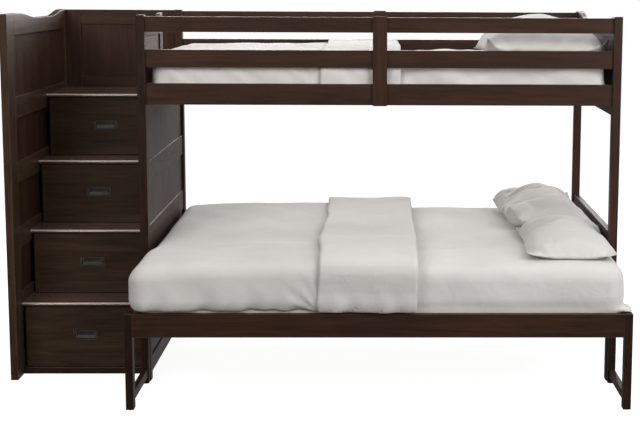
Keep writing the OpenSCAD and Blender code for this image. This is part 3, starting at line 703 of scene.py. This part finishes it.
pillow_front = lay("pillow_lower_front", front_low, front_high, 0.020, 3.0, -1.5,
                   (-0.066, -0.060, 0.008), (0.034, 0.026), (0.020, 0.024))
pillow_rear = lay("pillow_lower_rear", rear_low, rear_high, 0.020, 8.0, 1.5,
                  (-0.050, -0.006, 0.026), (0.008, 0.0), (0.030, -0.018))
pillow_top = lay("pillow_upper", top_low, top_high, 0.022, 5.0, 1.0,
                 (0.024, 0.0, 0.008), (0.016, 0.0), (0.0, 0.0))

# ---------- upper bedding ----------

UPPER_TOP = upper_high.z
UPPER_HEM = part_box("upper_side_rail_front")[1].z - 0.030     # tucked behind the side rails


def upper_mattress_field(p):
    """The upper mattress in its sheet: drawn in under the duvet, rumpled beyond it."""
    covered = covered_of(p, UPPER_FOLD_END)
    q = p.copy()
    middle = (upper_low.y + upper_high.y) / 2
    q[:, 1] = middle + (p[:, 1] - middle) * (1 + 0.038 * covered)
    q[:, 0] -= 0.018 * covered
    body = rounded_box(q, upper_low, upper_high, 0.040)
    rumple = (1 - covered) * waves(p, [(0.0042, (11, 4, 26), 0.4), (0.0026, (23, -6, -44), 1.5),
                                       (0.0010, (52, 8, 60), 2.6)])
    uneven = waves(p, [(0.0012, (6, 9, 12), 0.8), (0.0008, (15, -11, 19), 2.5)])
    return body - uneven - rumple + 0.006 * (1 - covered)


def upper_outer(p):
    """The outside of the upper duvet, its sides puckered where they are tucked in."""
    low = upper_duvet_low.x - 0.002, upper_duvet_low.y - 0.001, UPPER_TOP - 0.30
    high = UPPER_FOLD_END + 0.5, upper_duvet_high.y + 0.001, upper_duvet_low.z + 0.026
    body = rounded_box(p, low, high, 0.055)
    side = np.clip((UPPER_TOP + 0.01 - p[:, 2]) / 0.04, 0, 1)
    crown = waves(p, [(0.0022, (5, 4, 3), 1.4), (0.0014, (13, -8, 9), 0.1), (0.0010, (28, 19, 25), 3.3)])
    pucker = waves(p, [(0.0016, (46, 0, 60), 0.5), (0.0010, (88, 0, -70), 2.0)])
    return body - crown - side * pucker


def upper_duvet_field(p):
    shell = np.maximum(upper_outer(p), SKIN - upper_mattress_field(p))
    shell = blend_max(shell, UPPER_HEM - p[:, 2], 0.006)
    return blend_max(shell, p[:, 0] - (UPPER_FOLD_END - 0.012), 0.010)


def upper_fold_field(p):
    above = upper_outer(p)
    half = 0.0065 + 0.0035 * np.clip((p[:, 2] - UPPER_TOP + 0.01) / 0.02, 0, 1)
    low, high = FOLD + 0.6 * path_edge(p), UPPER_FOLD_END + 0.3 * path_edge(p)
    x = np.abs(p[:, 0] - (low + high) / 2) - ((high - low) / 2 - half)
    band = np.sqrt(np.maximum(x, 0) ** 2 + (above - half - 0.0004) ** 2) - half
    return blend_max(band, UPPER_HEM + 0.002 - p[:, 2], 0.006)


mattress_top = surface("mattress_upper", upper_mattress_field, upper_low, upper_high, MATTRESS_CELL)
duvet_top = surface("duvet_upper", upper_duvet_field,
                    (upper_duvet_low.x - 0.01, upper_low.y - 0.012, UPPER_HEM - 0.01),
                    (UPPER_FOLD_END, upper_high.y + 0.012, upper_duvet_high.z), CELL)
fold_top = surface("duvet_upper_fold", upper_fold_field,
                   (FOLD - 0.03, upper_low.y - 0.03, UPPER_HEM - 0.01),
                   (UPPER_FOLD_END + 0.02, upper_high.y + 0.03, upper_duvet_high.z + 0.03), FOLD_CELL)

# piece, the CAD node it stands for, material, slot, fill
for o, node, material, slot, fill in (
    (mattress, "lower_mattress", percale, "ticking", 1.0),
    (duvet, "lower_duvet", linen, "linen", 0.5),
    (fold, "lower_duvet", linen, "linen", 0.5),
    (pillow_front, "lower_pillow_front", linen, "linen", 0.7),
    (pillow_rear, "lower_pillow_rear", linen, "linen", 0.7),
    (mattress_top, "upper_mattress", percale_lit_upper, "ticking", 1.0),
    (duvet_top, "upper_duvet", linen_lit_upper, "linen", 0.5),
    (fold_top, "upper_duvet", linen_lit_upper, "linen", 0.5),
    (pillow_top, "upper_pillow", linen, "linen", 0.8),
):
    o.data.materials.append(material)
    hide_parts(node)
    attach(o, "bed_frame")

# ---------- studio ----------

white = Shader("studio_floor")
haze = white.noise(white.coords, 0.7, 2)
white.finish(white.mix(haze, (0.30, 0.30, 0.30), (0.32, 0.32, 0.32)), 0.7, Specular_IOR_Level=0.0,
             Emission_Color=(1, 1, 1, 1), Emission_Strength=0.93)
REACH = 30.0                               # half the floor's width
floor_mesh = bpy.data.meshes.new("floor")
floor_mesh.from_pydata([(-REACH, -REACH, 0), (REACH, -REACH, 0), (REACH, REACH, 0), (-REACH, REACH, 0)],
                       [], [(0, 1, 2, 3)])
floor = add_object("floor", floor_mesh)
floor.data.materials.append(white.mat)
floor.visible_diffuse = floor.visible_glossy = False

world = bpy.data.worlds.new("studio")
scene.world = world
world.use_nodes = True
tree = world.node_tree
background = tree.nodes["Background"]


def world_node(kind, **inputs):
    """A world node; _k=value feeds its input k."""
    n = tree.nodes.new(kind)
    for key, value in inputs.items():
        if isinstance(value, bpy.types.NodeSocket):
            tree.links.new(value, n.inputs[int(key[1:])])
        else:
            n.inputs[int(key[1:])].default_value = value
    return n


# the room glows a little behind and to the right of the bed, and a camera sees it as plain white
where = tree.nodes.new("ShaderNodeTexCoord").outputs["Generated"]
direction = world_node("ShaderNodeSeparateXYZ", _0=where)
behind = world_node("ShaderNodeMapRange", _0=direction.outputs["Y"], _1=-0.1, _2=0.9, _3=0.06, _4=0.18)
beside = world_node("ShaderNodeMapRange", _0=direction.outputs["X"], _1=0.0, _2=0.9, _3=0.0, _4=0.59)
glow = world_node("ShaderNodeMath", _0=behind.outputs[0], _1=beside.outputs[0])
to_camera = tree.nodes.new("ShaderNodeLightPath").outputs["Is Camera Ray"]
seen = world_node("ShaderNodeMix", _0=to_camera, _2=glow.outputs[0], _3=1.0)
tree.links.new(seen.outputs[0], background.inputs["Strength"])
background.inputs["Color"].default_value = (1, 1, 1, 1)


def softbox(name, place, target, size, power):
    data = bpy.data.lights.new(name, "AREA")
    data.shape = "RECTANGLE"
    data.size, data.size_y = size
    data.energy = power
    lamp = bpy.data.objects.new(name, data)
    lamp.location = place
    lamp.rotation_euler = (Vector(target) - Vector(place)).to_track_quat("-Z", "Y").to_euler()
    lamp.visible_camera = False
    scene.collection.objects.link(lamp)


softbox("key", (3.4, -4.0, 3.9), (0.2, 0, 0.7), (2.6, 2.2), 132)
softbox("fill", (-3.0, -4.6, 3.4), (-0.2, 0, 0.7), (3.0, 2.2), 158)
softbox("top", (0, 0, 4.6), (0, 0, 0), (4.0, 2.6), 75)
softbox("side", (2.7, -2.6, 1.6), (1.0, -0.5, 0.5), (1.6, 1.2), 24)
softbox("front", (0.3, -6.5, 1.9), (0, 0, 0.7), (3.0, 1.6), 22)
softbox("back", (0.28, 3.4, 2.2), (0.28, 0.2, 0.6), (3.4, 1.6), 112)

# ---------- camera ----------
# fitted to the photograph's posts, rails and feet, with the shift kept small

EYE = Vector((0.273, -5.6925, 1.700))
PITCH, YAW, ROLL = math.radians(7.30), math.radians(1.00), math.radians(-0.27)
FOCAL_LENGTH, SHIFT = 72.28, (-0.124, -0.10)
ahead = Vector((math.sin(YAW) * math.cos(PITCH), math.cos(YAW) * math.cos(PITCH), -math.sin(PITCH)))
right = Vector((math.cos(YAW), -math.sin(YAW), 0))
up = right.cross(ahead)
right, up = (right * math.cos(ROLL) - up * math.sin(ROLL), right * math.sin(ROLL) + up * math.cos(ROLL))
turn = Matrix((right, up, -ahead)).transposed()
camera_data = bpy.data.cameras.new("camera")
camera_data.sensor_width = 36.0
camera_data.lens = FOCAL_LENGTH
camera_data.shift_x, camera_data.shift_y = SHIFT
camera = bpy.data.objects.new("camera", camera_data)
camera.matrix_world = Matrix.Translation(EYE) @ turn.to_4x4()
scene.collection.objects.link(camera)
scene.camera = camera
scene.view_settings.view_transform = "Standard"
